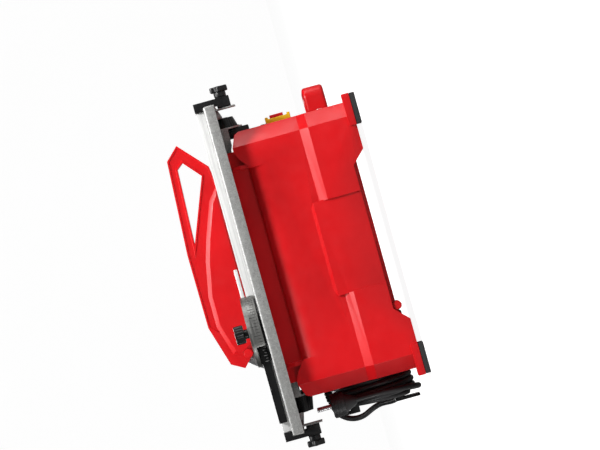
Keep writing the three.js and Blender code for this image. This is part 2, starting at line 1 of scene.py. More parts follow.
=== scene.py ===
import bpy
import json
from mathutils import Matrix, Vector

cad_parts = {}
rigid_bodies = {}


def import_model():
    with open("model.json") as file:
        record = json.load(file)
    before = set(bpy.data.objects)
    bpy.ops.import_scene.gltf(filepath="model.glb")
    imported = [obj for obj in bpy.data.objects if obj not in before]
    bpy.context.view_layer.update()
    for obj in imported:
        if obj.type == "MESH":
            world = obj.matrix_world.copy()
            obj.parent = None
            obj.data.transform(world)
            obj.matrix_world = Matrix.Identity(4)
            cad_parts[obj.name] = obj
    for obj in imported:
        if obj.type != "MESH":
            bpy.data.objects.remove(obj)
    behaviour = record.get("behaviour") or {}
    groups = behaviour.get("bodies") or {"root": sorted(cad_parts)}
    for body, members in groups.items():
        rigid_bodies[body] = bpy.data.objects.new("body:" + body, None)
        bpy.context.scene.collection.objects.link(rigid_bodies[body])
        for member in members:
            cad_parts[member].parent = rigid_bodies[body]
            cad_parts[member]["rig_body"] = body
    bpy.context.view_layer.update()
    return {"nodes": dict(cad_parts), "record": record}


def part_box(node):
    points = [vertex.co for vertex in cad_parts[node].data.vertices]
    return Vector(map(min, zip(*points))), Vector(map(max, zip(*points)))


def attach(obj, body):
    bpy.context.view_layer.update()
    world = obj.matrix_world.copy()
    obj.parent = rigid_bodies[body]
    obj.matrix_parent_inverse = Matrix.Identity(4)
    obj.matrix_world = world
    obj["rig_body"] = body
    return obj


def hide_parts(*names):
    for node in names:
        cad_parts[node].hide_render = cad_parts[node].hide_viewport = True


bl_info = {
    "name": "Wet Tile Saw",
    "version": (1, 0, 0),
    "blender": (4, 5, 0),
    "location": "View3D > Sidebar > Tile Saw",
    "description": "Finishes the pieces of a wet tile saw around its packed frame",
    "category": "Add Mesh",
}

import json
from math import cos, degrees, pi, radians, sin

import bmesh
import bpy
from bpy.props import FloatProperty, FloatVectorProperty, IntProperty, PointerProperty
from mathutils import Matrix, Vector

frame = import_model()
SLOT_OF = {row["node"]: row["material_slot"] for row in frame["record"]["subparts"]}
MM = 0.001
AXES = {
    "x": Matrix.Rotation(pi / 2, 4, "Y"),
    "y": Matrix.Rotation(-pi / 2, 4, "X"),
    "z": Matrix.Identity(4),
}


# Settings


class TileSawColours(bpy.types.PropertyGroup):
    """Colours that a user may change."""

    red: FloatVectorProperty(
        name="Housing red", description="Moulded housing and guard", subtype="COLOR",
        default=(0.62, 0.003, 0.006), min=0, max=1)
    black: FloatVectorProperty(
        name="Black plastic", description="Knobs, clamps and blocks", subtype="COLOR",
        default=(0.006, 0.006, 0.0065), min=0, max=1)
    yellow: FloatVectorProperty(
        name="Switch yellow", description="Frame around the two buttons", subtype="COLOR",
        default=(0.86, 0.58, 0.01), min=0, max=1)
    green: FloatVectorProperty(
        name="On button", description="The button that starts the motor", subtype="COLOR",
        default=(0.01, 0.23, 0.045), min=0, max=1)
    zinc: FloatVectorProperty(
        name="Galvanised sheet", description="Table and brackets", subtype="COLOR",
        default=(0.36, 0.36, 0.35), min=0, max=1)


class TileSawSizes(bpy.types.PropertyGroup):
    """Finish sizes that a user may change."""

    shell_round: FloatProperty(
        name="Shell rounding", description="Rounding of the housing's outer edges",
        subtype="DISTANCE", unit="LENGTH", default=3.5 * MM, min=0.5 * MM, max=8 * MM)
    cord: FloatProperty(
        name="Cord diameter", description="Outside of the supply cord",
        subtype="DISTANCE", unit="LENGTH", default=7.5 * MM, min=5 * MM, max=10 * MM)
    inner_turns: FloatProperty(
        name="Inner turns", description="Turns of cord on the inner layer", default=2.56)
    outer_turns: FloatProperty(
        name="Outer turns", description="Turns of cord on the outer layer", default=3.96)
    mark_step: FloatProperty(
        name="Scale step", description="Distance between marks on the fence scale",
        subtype="DISTANCE", unit="LENGTH", default=5 * MM)
    protractor_marks: IntProperty(
        name="Protractor marks", description="Marks round the protractor's rim", default=22)


class TileSawStage(bpy.types.PropertyGroup):
    """Where the camera stands."""

    distance: FloatProperty(
        name="Camera distance", description="From the table's near edge",
        subtype="DISTANCE", unit="LENGTH", default=3.2)
    field: FloatProperty(
        name="Field width", description="Width seen at the table's near edge",
        subtype="DISTANCE", unit="LENGTH", default=0.738)
    roll: FloatProperty(
        name="Camera roll", description="How far the saw's length leans from upright",
        subtype="ANGLE", unit="ROTATION", default=radians(15.5))


def colours():
    return bpy.context.scene.tile_saw_colours


def sizes():
    return bpy.context.scene.tile_saw_sizes


# Materials


def new_material(name, colour, roughness, metallic=0.0):
    material = bpy.data.materials.new(name)
    material.use_nodes = True
    nodes, links = material.node_tree.nodes, material.node_tree.links
    shader = nodes["Principled BSDF"]
    shader.inputs["Base Color"].default_value = (*colour, 1)
    shader.inputs["Roughness"].default_value = roughness
    shader.inputs["Metallic"].default_value = metallic
    place = nodes.new("ShaderNodeTexCoord").outputs["Object"]
    return material, nodes, links, shader, place


def noise(nodes, links, place, scale, detail=3.0, stretch=None):
    if stretch:
        mapping = nodes.new("ShaderNodeMapping")
        mapping.inputs["Scale"].default_value = stretch
        links.new(place, mapping.inputs["Vector"])
        place = mapping.outputs["Vector"]
    made = nodes.new("ShaderNodeTexNoise")
    made.inputs["Scale"].default_value = scale
    made.inputs["Detail"].default_value = detail
    links.new(place, made.inputs["Vector"])
    return made.outputs["Fac"]


def ramp(nodes, links, factor, stops):
    made = nodes.new("ShaderNodeValToRGB")
    elements = made.color_ramp.elements
    while len(elements) < len(stops):
        elements.new(0.5)
    for element, (position, colour) in zip(elements, stops):
        element.position = position
        element.color = (*colour, 1)
    links.new(factor, made.inputs["Fac"])
    return made.outputs["Color"]


def spread(nodes, links, factor, low, high, start=0.3, end=0.7):
    made = nodes.new("ShaderNodeMapRange")
    made.inputs["From Min"].default_value = start
    made.inputs["From Max"].default_value = end
    made.inputs["To Min"].default_value = low
    made.inputs["To Max"].default_value = high
    links.new(factor, made.inputs["Value"])
    return made.outputs["Result"]


def bump(nodes, links, shader, height, strength, distance):
    made = nodes.new("ShaderNodeBump")
    made.inputs["Strength"].default_value = strength
    made.inputs["Distance"].default_value = distance
    links.new(height, made.inputs["Height"])
    links.new(made.outputs["Normal"], shader.inputs["Normal"])


def shade_of(colour, factor):
    return tuple(min(1.0, c * factor) for c in colour)


def moulded(name, colour, roughness, grain=900, depth=0.12, gloss_level=0.35):
    """Moulded plastic: a fine spark-eroded grain, faint flow clouds and rubbed patches."""
    material, nodes, links, shader, place = new_material(name, colour, roughness)
    shader.inputs["Specular IOR Level"].default_value = gloss_level
    clouds = noise(nodes, links, place, 11, 4)
    stops = [(0.3, shade_of(colour, 0.86)), (0.55, colour), (0.75, shade_of(colour, 1.12))]
    links.new(ramp(nodes, links, clouds, stops), shader.inputs["Base Color"])
    rubbed = noise(nodes, links, place, 70, 5)
    gloss = spread(nodes, links, rubbed, roughness - 0.05, roughness + 0.08)
    links.new(gloss, shader.inputs["Roughness"])
    bump(nodes, links, shader, noise(nodes, links, place, grain, 2), depth, 0.0004)
    return material


def galvanised(name, colour):
    """Zinc-coated sheet: small spangle crystals under a fine grey haze."""
    material, nodes, links, shader, place = new_material(name, colour, 0.5, 0.6)
    crystals = nodes.new("ShaderNodeTexVoronoi")
    crystals.inputs["Scale"].default_value = 420
    links.new(place, crystals.inputs["Vector"])
    flake = nodes.new("ShaderNodeSeparateColor")
    links.new(crystals.outputs["Color"], flake.inputs["Color"])
    haze = noise(nodes, links, place, 650, 6)
    mixed = nodes.new("ShaderNodeMath")
    mixed.operation = "MULTIPLY_ADD"
    mixed.inputs[1].default_value = 0.22
    links.new(flake.outputs["Red"], mixed.inputs[0])
    links.new(haze, mixed.inputs[2])
    stops = [(0.35, shade_of(colour, 0.70)), (0.62, colour), (0.9, shade_of(colour, 1.35))]
    links.new(ramp(nodes, links, mixed.outputs[0], stops), shader.inputs["Base Color"])
    gloss = spread(nodes, links, flake.outputs["Green"], 0.42, 0.56, 0, 1)
    links.new(gloss, shader.inputs["Roughness"])
    bump(nodes, links, shader, haze, 0.12, 0.0003)
    return material


def drawn(name, colour, roughness, stretch, metallic=1.0):
    """Extruded, ground or turned metal with fine lines along one direction."""
    material, nodes, links, shader, place = new_material(name, colour, roughness, metallic)
    lines = noise(nodes, links, place, 1, 4, stretch)
    stops = [(0.3, shade_of(colour, 0.8)), (0.7, shade_of(colour, 1.08))]
    links.new(ramp(nodes, links, lines, stops), shader.inputs["Base Color"])
    gloss = spread(nodes, links, lines, roughness - 0.08, roughness + 0.12)
    links.new(gloss, shader.inputs["Roughness"])
    bump(nodes, links, shader, lines, 0.08, 0.0002)
    return material


def grit(name, colour):
    """Sintered diamond rim: coarse, dull grains."""
    material, nodes, links, shader, place = new_material(name, colour, 0.75, 0.3)
    grains = noise(nodes, links, place, 1600, 3)
    stops = [(0.35, shade_of(colour, 0.5)), (0.65, shade_of(colour, 1.6))]
    links.new(ramp(nodes, links, grains, stops), shader.inputs["Base Color"])
    bump(nodes, links, shader, grains, 0.6, 0.0006)
    return material


def rubber(name, roughness):
    """Black rubber: a coarser grain and a higher sheen than the moulded plastics."""
    return moulded(name, (0.016, 0.016, 0.017), roughness, 1500, 0.2, gloss_level=0.6)


MAKERS = {
    "red_plastic": lambda name: moulded(name, tuple(colours().red), 0.36),
    "black_plastic": lambda name: moulded(name, tuple(colours().black), 0.3),
    "foot_rubber": lambda name: rubber(name, 0.75),
    "cord_rubber": lambda name: rubber(name, 0.42),
    "yellow_plastic": lambda name: moulded(name, tuple(colours().yellow), 0.35),
    "green_plastic": lambda name: moulded(name, tuple(colours().green), 0.35),
    "zinc_sheet": lambda name: galvanised(name, tuple(colours().zinc)),
    "aluminium": lambda name: drawn(name, (0.86, 0.86, 0.85), 0.34, (9, 900, 900), 0.25),
    "steel": lambda name: drawn(name, (0.55, 0.55, 0.56), 0.3, (700, 60, 700)),
    "protractor_steel": lambda name: drawn(name, (0.25, 0.25, 0.24), 0.42, (40, 40, 700)),
    "blade_steel": lambda name: drawn(name, (0.5, 0.5, 0.52), 0.28, (420, 40, 420)),
    "diamond_rim": lambda name: grit(name, (0.16, 0.155, 0.15)),
    "motor_paint": lambda name: moulded(name, (0.07, 0.08, 0.09), 0.4, 500),
    "rotor_metal": lambda name: drawn(name, (0.40, 0.31, 0.24), 0.45, (60, 2600, 60)),
    "scale_print": lambda name: moulded(name, (0.02, 0.02, 0.02), 0.5),
    "white_print": lambda name: moulded(name, (0.8, 0.8, 0.8), 0.5),
}


def material_for(key):
    """The finish with this key, made the first time that a piece asks for it."""
    name = f"finish {key}"
    if name not in bpy.data.materials:
        MAKERS[key](name)
    return bpy.data.materials[name]


# Modelling steps


def choose(piece):
    """Leaves edit mode and makes the piece the only selected and active object."""
    if bpy.context.object and bpy.context.object.mode != "OBJECT":
        bpy.ops.object.mode_set(mode="OBJECT")
    bpy.ops.object.select_all(action="DESELECT")
    piece.select_set(True)
    bpy.context.view_layer.objects.active = piece
    return piece


def select_in_mesh(piece, faces=None, edges=None):
    """Selects the faces or edges for which the test is true, in edit mode."""
    choose(piece)
    bpy.ops.object.mode_set(mode="EDIT")
    bpy.ops.mesh.select_mode(type="FACE" if faces else "EDGE")
    bpy.ops.mesh.select_all(action="DESELECT")
    mesh = bmesh.from_edit_mesh(piece.data)
    mesh.normal_update()
    for element in mesh.faces if faces else mesh.edges:
        if (faces or edges)(element):
            element.select_set(True)
    bmesh.update_edit_mesh(piece.data)


def done(piece):
    """Leaves edit mode."""
    bpy.ops.object.mode_set(mode="OBJECT")
    return piece


def copy_of(node):
    """A copy of a frame piece with merged corners and whole faces, ready to be shaped."""
    source = frame["nodes"][node]
    piece = bpy.data.objects.new(f"{node}_finished", source.data.copy())
    bpy.context.scene.collection.objects.link(piece)
    choose(piece)
    bpy.ops.mesh.customdata_custom_splitnormals_clear()
    bpy.ops.object.mode_set(mode="EDIT")
    bpy.ops.mesh.select_all(action="SELECT")
    bpy.ops.mesh.remove_doubles(threshold=0.005 * MM)
    bpy.ops.mesh.dissolve_limited(angle_limit=radians(1))
    return done(piece)


def apply(piece, kind, **values):
    """Adds a modifier with these settings and applies it."""
    choose(piece)
    modifier = piece.modifiers.new(kind.title(), kind)
    for key, value in values.items():
        setattr(modifier, key, value)
    bpy.ops.object.modifier_apply(modifier=modifier.name)


def soften(piece, width, segments=2, angle=35):
    """Rounds the sharp edges and smooths the shading between flat faces."""
    apply(piece, "BEVEL", width=width, segments=segments, limit_method="ANGLE",
          angle_limit=radians(angle), profile=0.6)
    bpy.ops.object.shade_smooth_by_angle(angle=radians(32))
    return piece


def place_in_mesh(piece):
    """Moves the piece's placement into its mesh, so that its own origin stays at the frame's."""
    choose(piece)
    bpy.ops.object.transform_apply(location=True, rotation=True, scale=True)
    return piece


def cylinder(name, axis, span, centre, radius, vertices=48, end_radius=None):
    """A cylinder or cone along an axis between two places on it; centre is the other two."""
    middle = sum(span) / 2
    u, v = centre
    spot = {"x": (middle, u, v), "y": (u, middle, v), "z": (u, v, middle)}[axis]
    far = radius if end_radius is None else end_radius
    bpy.ops.mesh.primitive_cone_add(
        vertices=vertices, radius1=radius, radius2=far, depth=span[1] - span[0])
    piece = bpy.context.object
    piece.name = name
    piece.matrix_world = Matrix.Translation(spot) @ AXES[axis]
    return place_in_mesh(piece)


def slab(name, low, high):
    """A block between its lowest and its highest corner."""
    bpy.ops.mesh.primitive_cube_add(size=1)
    piece = bpy.context.object
    piece.name = name
    low, high = Vector(low), Vector(high)
    piece.location = (low + high) / 2
    piece.scale = high - low
    return place_in_mesh(piece)


def flat_plate(name, points, thickness):
    """A plate from the corners of its outline, thickened along a direction."""
    bpy.ops.mesh.primitive_circle_add(vertices=len(points), fill_type="NGON")
    piece = bpy.context.object
    piece.name = name
    place_in_mesh(piece)
    for vertex, point in zip(piece.data.vertices, points):
        vertex.co = point
    choose(piece)
    bpy.ops.object.mode_set(mode="EDIT")
    bpy.ops.mesh.select_all(action="SELECT")
    bpy.ops.mesh.extrude_region_move(TRANSFORM_OT_translate={"value": thickness})
    bpy.ops.mesh.select_all(action="SELECT")
    bpy.ops.mesh.normals_make_consistent(inside=False)
    return done(piece)


def merged(name, parts):
    """Joins parts into the first one and names it."""
    choose(parts[0])
    for part in parts[1:]:
        part.select_set(True)
    bpy.ops.object.join()
    parts[0].name = name
    return parts[0]


def dress(piece, body, slot, finish=None, nodes=()):
    """Gives a finished piece its material and its body, and hides the frame pieces that it stands
    for.
    """
    choose(piece)
    piece.data.materials.clear()
    piece.data.materials.append(material_for(finish or slot))
    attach(piece, body)
    if nodes:
        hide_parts(*nodes)
    return piece


def dress_copy(piece, node):
    """Dresses a piece in the body and the slot's finish of the one frame piece that it stands for."""
    return dress(piece, body_of(node), SLOT_OF[node], nodes=(node,))


def finish_nodes(widths, segments=2):
    """Copies, rounds and dresses each frame piece in a table of rounding widths in millimetres."""
    for node, width in widths.items():
        dress_copy(soften(copy_of(node), width * MM, segments), node)


def eased(share):
    """A smooth step from 0 to 1."""
    share = min(1, max(0, share))
    return share * share * (3 - 2 * share)


def body_of(node):
    return frame["nodes"][node]["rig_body"]


def extent(node):
    """The lowest corner, the highest corner and the middle of a frame piece."""
    low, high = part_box(node)
    return low, high, (low + high) / 2


def along(side, span):
    """A span in millimetres towards one end of the saw, in ascending order."""
    return sorted(side * place * MM for place in span)


def lobed_knob(name, axis, span, centre, radius, lobes, depth, vertices_per_lobe=12):
    """A star knob: a cylinder whose flutes are drawn in towards the axis."""
    count = lobes * vertices_per_lobe
    piece = cylinder(name, axis, span, centre, radius, count)
    middle = sum((v.co for v in piece.data.vertices), Vector()) / (2 * count)
    steps = vertices_per_lobe // 2
    direction = {"x": 0, "y": 1, "z": 2}[axis]
    plane = [i for i in range(3) if i != direction]

    def angle_of(vertex):
        offset = vertex.co - middle
        return Vector((offset[plane[0]], offset[plane[1]])).angle_signed(Vector((1, 0)))

    choose(piece)
    bpy.ops.object.mode_set(mode="EDIT")
    bpy.ops.mesh.select_mode(type="VERT")
    for step in range(steps + 1):
        bpy.ops.mesh.select_all(action="DESELECT")
        for vertex in bmesh.from_edit_mesh(piece.data).verts:
            phase = (angle_of(vertex) * lobes / (2 * pi)) % 1.0
            if round(min(phase, 1 - phase) * vertices_per_lobe) == step:
                vertex.select_set(True)
        bmesh.update_edit_mesh(piece.data)
        share = 1 - depth / radius * (1 - cos(pi * step / steps)) / 2
        factor = [share, share, share]
        factor[direction] = 1
        bpy.ops.transform.resize(value=factor, center_override=middle)
    return done(piece)


# Operators


class PieceOperator:
    """What every operator here shares."""

    bl_options = {"REGISTER", "UNDO"}

    def execute(self, context):
        self.build()
        return {"FINISHED"}


class TILESAW_OT_housing(PieceOperator, bpy.types.Operator):
    """Round the housing shell and add its screws"""

    bl_idname = "tilesaw.housing"
    bl_label = "Housing shell"

    middle_y = -18
    foot_height = 18
    end_face = 171
    screw_rows = (-118, 88)
    screw_heights = (46, 118)
    screw_radius = 4.2
    screw_thickness = 1.6

    def build(self):
        shell = copy_of("housing_shell")

        def outer(edge):
            if len(edge.link_faces) != 2 or edge.calc_face_angle(0) < radians(12):
                return False
            if not edge.is_convex and edge.calc_face_angle(0) > radians(50):
                return False
            middle = (edge.verts[0].co + edge.verts[1].co) / 2
            outward = Vector((middle.x, middle.y - self.middle_y * MM, 0)).normalized()
            near_foot = middle.z < self.foot_height * MM
            sides = [face.normal for face in edge.link_faces]
            return not near_foot and all(n.dot(outward) > 0.25 for n in sides)

        select_in_mesh(shell, edges=outer)
        bpy.ops.mesh.bevel(
            offset=sizes().shell_round, segments=4, profile=0.5, affect="EDGES", clamp_overlap=True)
        done(shell)
        dress_copy(soften(shell, 0.9 * MM), "housing_shell")
        self.screws()

    def screws(self):
        heads = []
        for side in (-1, 1):
            span = along(side, (self.end_face, self.end_face + self.screw_thickness))
            for y in self.screw_rows:
                for z in self.screw_heights:
                    place = (y * MM, z * MM)
                    head = cylinder("screw", "x", span, place, self.screw_radius * MM, 24)
                    select_in_mesh(head, faces=lambda f, s=side: f.normal.x * s > 0.9)
                    bpy.ops.mesh.inset(thickness=1.6 * MM, depth=-0.9 * MM)
                    done(head)
                    heads.append(soften(head, 0.35 * MM))
        dress(merged("housing_screws", heads), "root", "steel")


class TILESAW_OT_base(PieceOperator, bpy.types.Operator):
    """Finish the water tray, drain plug, feet and carry handle"""

    bl_idname = "tilesaw.base"
    bl_label = "Tray, feet and handle"

    def build(self):
        finish_nodes({"water_tray": 0.8, "drain_plug": 0.8}, 3)
        self.handle()
        for end in ("front", "rear"):
            for side in ("near", "far"):
                self.foot(f"foot_pad_{end}_{side}")

    def handle(self):
        handle = soften(copy_of("carry_handle"), 6 * MM, 5, 50)
        dress_copy(handle, "carry_handle")

    def foot(self, node):
        pad = copy_of(node)
        select_in_mesh(pad, faces=lambda f: f.normal.z < -0.9)
        bpy.ops.mesh.inset(thickness=4 * MM, depth=0)
        bpy.ops.mesh.inset(thickness=2 * MM, depth=-1.5 * MM)
        done(pad)
        dress_copy(soften(pad, 0.9 * MM, 3), node)


class TILESAW_OT_switch(PieceOperator, bpy.types.Operator):
    """Finish the switch frame and its two buttons"""

    bl_idname = "tilesaw.switch"
    bl_label = "Switch"

    def build(self):
        finish_nodes({"switch_frame": 1.2, "switch_box": 1.5}, 3)
        for node, mark in (("off_button", "ring"), ("on_button", "bar")):
            self.button(node, mark)

    def button(self, node, mark):
        button = copy_of(node)
        select_in_mesh(button, faces=lambda f: f.normal.x > 0.9)
        bpy.ops.mesh.inset(thickness=2.5 * MM, depth=-0.8 * MM)
        done(button)
        dress_copy(soften(button, 0.7 * MM, 3), node)
        _, high, middle = extent(node)
        span = (high.x - 0.8 * MM, high.x - 0.2 * MM)
        at = (middle.y, middle.z)
        if mark == "ring":
            sign = cylinder("off_mark", "x", span, at, 4 * MM, 32)
            select_in_mesh(sign, faces=lambda f: abs(f.normal.x) > 0.9)
            bpy.ops.mesh.inset(thickness=1.2 * MM)
            bpy.ops.mesh.bridge_edge_loops()
            done(sign)
        else:
            half = Vector((0, 0.7 * MM, 4 * MM))
            sign = slab("on_mark", Vector((span[0], *at)) - half, Vector((span[1], *at)) + half)
        dress(sign, body_of(node), "aluminium", "white_print")


class TILESAW_OT_drive(PieceOperator, bpy.types.Operator):
    """Finish the motor, its shields, bearings, fan and plate"""

    bl_idname = "tilesaw.drive"
    bl_label = "Motor"

    fin_count = 28
    fin_half = 0.8
    fin_height = 1.6
    fin_root = 2
    fin_end_gap = 4

    def build(self):
        finish_nodes({
            "motor_plate": 0.6, "drive_end_shield": 1.0, "fan_end_shield": 1.0,
            "drive_bearing": 0.5, "fan_bearing": 0.5, "fan_cowl": 0.6, "capacitor": 1.5,
            "motor_shaft": 0.8, "rotor_core": 0.8, "cooling_fan": 0.4,
        })
        self.motor_body()

    def motor_body(self):
        body = soften(copy_of("motor_body"), 1.0 * MM)
        low, high, middle = extent("motor_body")
        radius = (high.x - low.x) / 2
        half, gap = self.fin_half * MM, self.fin_end_gap * MM
        fins = []
        for step in range(self.fin_count):
            angle = 2 * pi * step / self.fin_count
            fin = slab("fin", (-half, low.y + gap, radius - self.fin_root * MM),
                       (half, high.y - gap, radius + self.fin_height * MM))
            fin.matrix_world = (
                Matrix.Translation((middle.x, 0, middle.z)) @ Matrix.Rotation(angle, 4, "Y"))
            fins.append(place_in_mesh(fin))
        dress(merged("motor_fins", fins), "root", "motor_paint")
        dress_copy(body, "motor_body")


class TILESAW_OT_blade(PieceOperator, bpy.types.Operator):
    """Finish the blade, its flanges and nut, and the riving knife"""

    bl_idname = "tilesaw.blade"
    bl_label = "Blade"

    core_half = 0.8
    rim_depth = 6
    rim_overlap = 0.3
    bore_radius = 8.3

    def build(self):
        finish_nodes({
            "riving_knife": 0.4, "inner_flange": 0.8, "outer_flange": 0.8, "blade_nut": 0.8})
        self.blade()

    def blade(self):
        low, high, middle = extent("diamond_blade")
        at = (middle.x, middle.z)
        radius = (high.x - low.x) / 2
        core_radius = radius - self.rim_depth * MM
        half = self.core_half * MM
        span = (middle.y - half, middle.y + half)
        core = cylinder("blade_core", "y", span, at, core_radius, 144)
        select_in_mesh(core, faces=lambda f: abs(f.normal.y) > 0.9)
        bpy.ops.mesh.inset(thickness=core_radius - self.bore_radius * MM)
        bpy.ops.mesh.bridge_edge_loops()
        done(core)
        dress(soften(core, 0.15 * MM, 1), "rotor", "blade_steel", nodes=("diamond_blade",))
        rim = cylinder("diamond_rim", "y", (low.y, high.y), at, radius, 144)
        select_in_mesh(rim, faces=lambda f: abs(f.normal.y) > 0.9)
        bpy.ops.mesh.inset(thickness=(self.rim_depth + self.rim_overlap) * MM)
        bpy.ops.mesh.bridge_edge_loops()
        done(rim)
        dress(soften(rim, 0.25 * MM, 1), "rotor", "blade_steel", "diamond_rim")


class TILESAW_OT_table(PieceOperator, bpy.types.Operator):
    """Fold the table's edges and finish its tilt plates, blocks, bolts and knobs"""

    bl_idname = "tilesaw.table"
    bl_label = "Table and tilt"

    knob_sides = 96
    knob_wide = 15
    knob_narrow = 11

    def build(self):
        table = copy_of("table_top")
        low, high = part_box("table_top")

        def fold(edge):
            ends = [v.co for v in edge.verts]
            on_top = all(abs(p.z - high.z) < 0.1 * MM for p in ends)
            rim = all(
                min(p.x - low.x, high.x - p.x, p.y - low.y, high.y - p.y) < 0.1 * MM for p in ends)
            corner = rim and abs(ends[0].z - ends[1].z) > 5 * MM
            return rim and (on_top or corner)

        select_in_mesh(table, edges=fold)
        bpy.ops.mesh.bevel(offset=2.6 * MM, segments=5, affect="EDGES", clamp_overlap=True)
        done(table)
        dress_copy(soften(table, 0.3 * MM), "table_top")
        finish_nodes({
            "front_tilt_plate": 0.4, "rear_tilt_plate": 0.4, "front_pivot_block": 1.2,
            "rear_pivot_block": 0.8, "front_pivot_bolt": 0.8, "rear_pivot_bolt": 0.8})
        for end, side in (("front", 1), ("rear", -1)):
            self.knob(f"{end}_tilt_knob", side)

    def knob(self, node, side):
        low, high, middle = extent(node)
        wide, narrow = self.knob_wide * MM, self.knob_narrow * MM
        start, end = (wide, narrow) if side > 0 else (narrow, wide)
        knob = cylinder(f"{node}_finished", "x", (low.x, high.x), (middle.y, middle.z), start,
                        self.knob_sides, end)
        face_turn = 360 / self.knob_sides

        def groove(face):
            """True for every fourth face round the knob's side."""
            if abs(face.normal.x) > 0.8:
                return False
            offset = face.calc_center_median() - middle
            angle = degrees(Vector((offset.y, offset.z)).angle_signed(Vector((1, 0))))
            return round(angle / face_turn + 0.5) % 4 == 0

        select_in_mesh(knob, faces=groove)
        bpy.ops.mesh.inset(thickness=0.15 * MM, depth=-1.3 * MM, use_individual=True)
        select_in_mesh(knob, faces=lambda f: f.normal.x * side > 0.95)
        bpy.ops.mesh.inset(thickness=3 * MM, depth=0)
        bpy.ops.mesh.inset(thickness=0.8 * MM, depth=-1.2 * MM)
        done(knob)
        dress_copy(soften(knob, 0.35 * MM, 2, 40), node)


class TILESAW_OT_fence(PieceOperator, bpy.types.Operator):
    """Finish the rip fence with its scale, clamps and star knobs"""

    bl_idname = "tilesaw.fence"
    bl_label = "Rip fence"

    knob_height = 161
    knob_head = (226.5, 233.5)
    knob_neck = (220, 227)
    knob_screw = (207, 221)

    def build(self):
        finish_nodes({
            "fence_rail": 0.35, "front_fence_clamp": 1.2, "rear_fence_clamp": 1.2,
            "front_clamp_plate": 0.4, "rear_clamp_plate": 0.4})
        self.scale()
        for end, side in (("front", 1), ("rear", -1)):
            self.knob(f"{end}_clamp_knob", side)

    def scale(self):
        low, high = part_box("fence_rail")
        step = sizes().mark_step
        marks = []
        for index in range(1, int((high.x - low.x) / step)):
            reach = 3.4 * MM if index % 2 == 0 else 2.2 * MM
            x = low.x + index * step
            marks.append(slab("mark", (x - 0.2 * MM, high.y - reach, high.z - 0.05 * MM),
                              (x + 0.2 * MM, high.y - 0.6 * MM, high.z + 0.06 * MM)))
        dress(merged("fence_scale", marks), "fence", "aluminium", "scale_print")

    def knob(self, node, side):
        _, _, rail_middle = extent("fence_rail")
        at = (rail_middle.y, self.knob_height * MM)
        rim = along(side, self.knob_head)
        star = lobed_knob(f"{node}_finished", "x", rim, at, 12.5 * MM, 6, 3 * MM)
        soften(star, 1.6 * MM, 3, 50)
        neck = cylinder("neck", "x", along(side, self.knob_neck), at, 7.7 * MM, 40)
        dress_copy(merged(f"{node}_finished", [star, soften(neck, 0.8 * MM)]), node)
        screw = cylinder(f"{node}_screw", "x", along(side, self.knob_screw), at, 3 * MM, 24)
        dress(soften(screw, 0.4 * MM), body_of(node), "steel")


class TILESAW_OT_angle_stop(PieceOperator, bpy.types.Operator):
    """Build the protractor, its marks, arm, stop bar and knob"""

    bl_idname = "tilesaw.angle_stop"
    bl_label = "Angle stop"

    rim_angles = (249, 355)
    bar_mark_start = -114
    bar_mark_step = 3.6
    bar_mark_count = 9
    knob_at = (-75, -129.6)
    knob_head_start = 211
    knob_neck = (206, 212)
    knob_stud_end = 206.5

    def build(self):
        finish_nodes({"angle_stop_base": 0.5, "stop_bar": 1.2, "guide_arm": 0.7})
        low, high, middle = extent("protractor_plate")
        radius = (high.x - low.x) / 2
        plate = soften(copy_of("protractor_plate"), 0.5 * MM, 2, 40)
        dress(plate, "angle_stop", "zinc_sheet", "protractor_steel", nodes=("protractor_plate",))
        self.marks((middle.x, high.y), radius, low.z)
        self.bar_marks()
        self.knob()

    def marks(self, at, radius, low):
        """Degree marks round the rim that hangs from the protractor's edge."""
        count = sizes().protractor_marks
        first, last = (radians(angle) for angle in self.rim_angles)
        marks = []
        for index in range(count):
            angle = first + (last - first) * index / (count - 1)
            height = 9 * MM if index % 3 == 0 else 5.5 * MM
            mark = slab("mark", (radius - 0.4 * MM, -0.25 * MM, low + 2 * MM),
                        (radius + 0.08 * MM, 0.25 * MM, low + 2 * MM + height))
            mark.matrix_world = Matrix.Translation((*at, 0)) @ Matrix.Rotation(angle, 4, "Z")
            marks.append(place_in_mesh(mark))
        dress(merged("protractor_marks", marks), "angle_stop", "zinc_sheet", "scale_print")

    def bar_marks(self):
        """Pale graduations on the near face of the stop bar's block."""
        low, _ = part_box("stop_bar")
        marks = []
        for index in range(self.bar_mark_count):
            x = self.bar_mark_start * MM + index * self.bar_mark_step * MM
            height = 4.5 * MM if index % 2 == 0 else 2.8 * MM
            marks.append(slab("mark", (x - 0.25 * MM, low.y - 0.08 * MM, low.z + 1.5 * MM),
                              (x + 0.25 * MM, low.y + 0.3 * MM, low.z + 1.5 * MM + height)))
        dress(merged("stop_bar_marks", marks), "stop_bar", "aluminium", "white_print")

    def knob(self):
        low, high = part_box("angle_knob")
        at = [place * MM for place in self.knob_at]
        span = (self.knob_head_start * MM, high.z)
        head = lobed_knob("angle_knob_finished", "z", span, at, 12.5 * MM, 5, 3.5 * MM)
        soften(head, 2.0 * MM, 3, 50)
        neck = cylinder("neck", "z", along(1, self.knob_neck), at, 6 * MM, 32)
        dress_copy(merged("angle_knob_finished", [head, soften(neck, 0.6 * MM)]), "angle_knob")
        stud = cylinder("angle_knob_stud", "z", (low.z, self.knob_stud_end * MM), at, 3 * MM, 24)
        dress(soften(stud, 0.3 * MM), "angle_knob", "steel")


